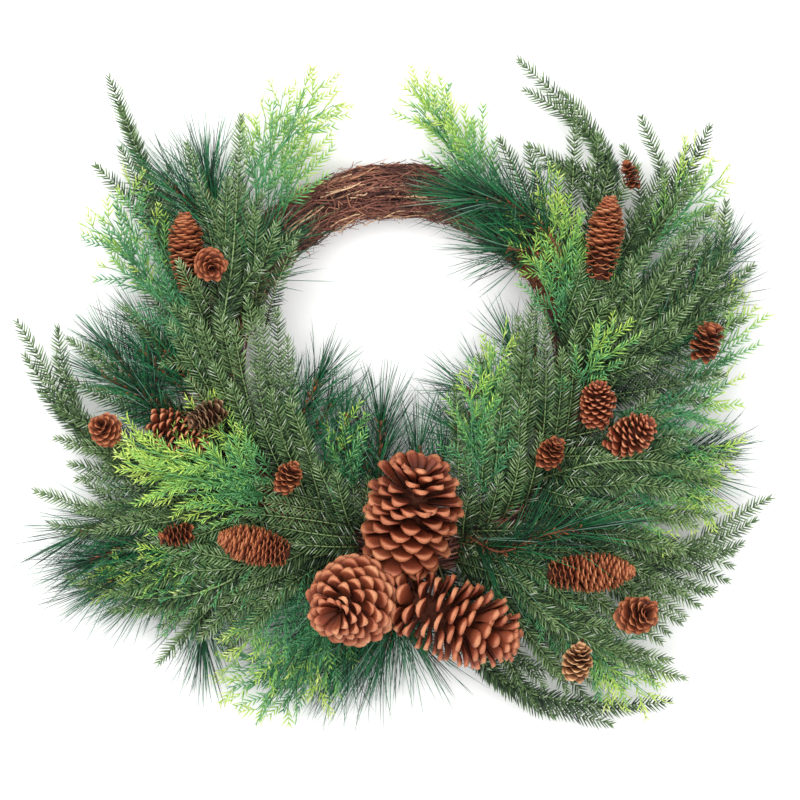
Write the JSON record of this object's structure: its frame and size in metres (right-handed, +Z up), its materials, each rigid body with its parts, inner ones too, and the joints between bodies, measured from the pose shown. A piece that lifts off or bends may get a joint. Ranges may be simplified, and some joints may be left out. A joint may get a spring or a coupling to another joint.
{
  "type": "evergreen wreath",
  "caption": "Round wreath of spruce, pine and cedar boughs with pine, spruce and larch cones, pushed into a ring of bundled twigs left bare at the top.",
  "frame": {"origin": "centre of the whole wreath's outline, on the surface that its back lies on", "axes": "+Z up out of the wreath's front, +Y towards the bare stretch of ring at the top, +X to the right seen from the front"},
  "size_m": [0.5954, 0.527, 0.1163],
  "materials": {
    "twig_bundle": "matt dark brown bark",
    "spruce": "satin olive-green needles with pale ribs",
    "pine": "satin dark and emerald green long needles",
    "cedar": "satin green scale leaves turning lime at the tips",
    "pine_cone": "matt brown scales with lighter rims",
    "spruce_cone": "matt reddish brown papery scales",
    "larch_cone": "matt brown scales"
  },
  "bodies": {
    "root": {"twig_ring": "twig_bundle", "spruce_bough_01": "spruce", "spruce_bough_02": "spruce", "spruce_bough_03": "spruce", "spruce_bough_04": "spruce", "spruce_bough_05": "spruce", "spruce_bough_06": "spruce", "spruce_bough_07": "spruce", "spruce_bough_08": "spruce", "spruce_bough_09": "spruce", "spruce_bough_10": "spruce", "spruce_bough_11": "spruce", "spruce_bough_12": "spruce", "spruce_bough_13": "spruce", "spruce_bough_14": "spruce", "spruce_bough_15": "spruce", "spruce_bough_16": "spruce", "pine_bough_01": "pine", "pine_bough_02": "pine", "pine_bough_03": "pine", "pine_bough_04": "pine", "pine_bough_05": "pine", "pine_bough_06": "pine", "pine_bough_07": "pine", "pine_bough_08": "pine", "pine_bough_09": "pine", "pine_bough_10": "pine", "pine_bough_11": "pine", "cedar_bough_01": "cedar", "cedar_bough_02": "cedar", "cedar_bough_03": "cedar", "cedar_bough_04": "cedar", "cedar_bough_05": "cedar", "cedar_bough_06": "cedar", "cedar_bough_07": "cedar", "cedar_bough_08": "cedar", "cedar_bough_09": "cedar", "cedar_bough_10": "cedar", "cedar_bough_11": "cedar", "cedar_bough_12": "cedar", "pine_cone_1": "pine_cone", "pine_cone_2": "pine_cone", "pine_cone_3": "pine_cone", "pine_cone_4": "pine_cone", "pine_cone_5": "pine_cone", "pine_cone_6": "pine_cone", "spruce_cone_1": "spruce_cone", "spruce_cone_2": "spruce_cone", "spruce_cone_3": "spruce_cone", "spruce_cone_4": "spruce_cone", "larch_cone_1": "larch_cone", "larch_cone_2": "larch_cone", "larch_cone_3": "larch_cone", "larch_cone_4": "larch_cone", "larch_cone_5": "larch_cone", "larch_cone_6": "larch_cone", "larch_cone_7": "larch_cone", "larch_cone_8": "larch_cone", "larch_cone_9": "larch_cone", "larch_cone_10": "larch_cone"}
  },
  "joints": []
}
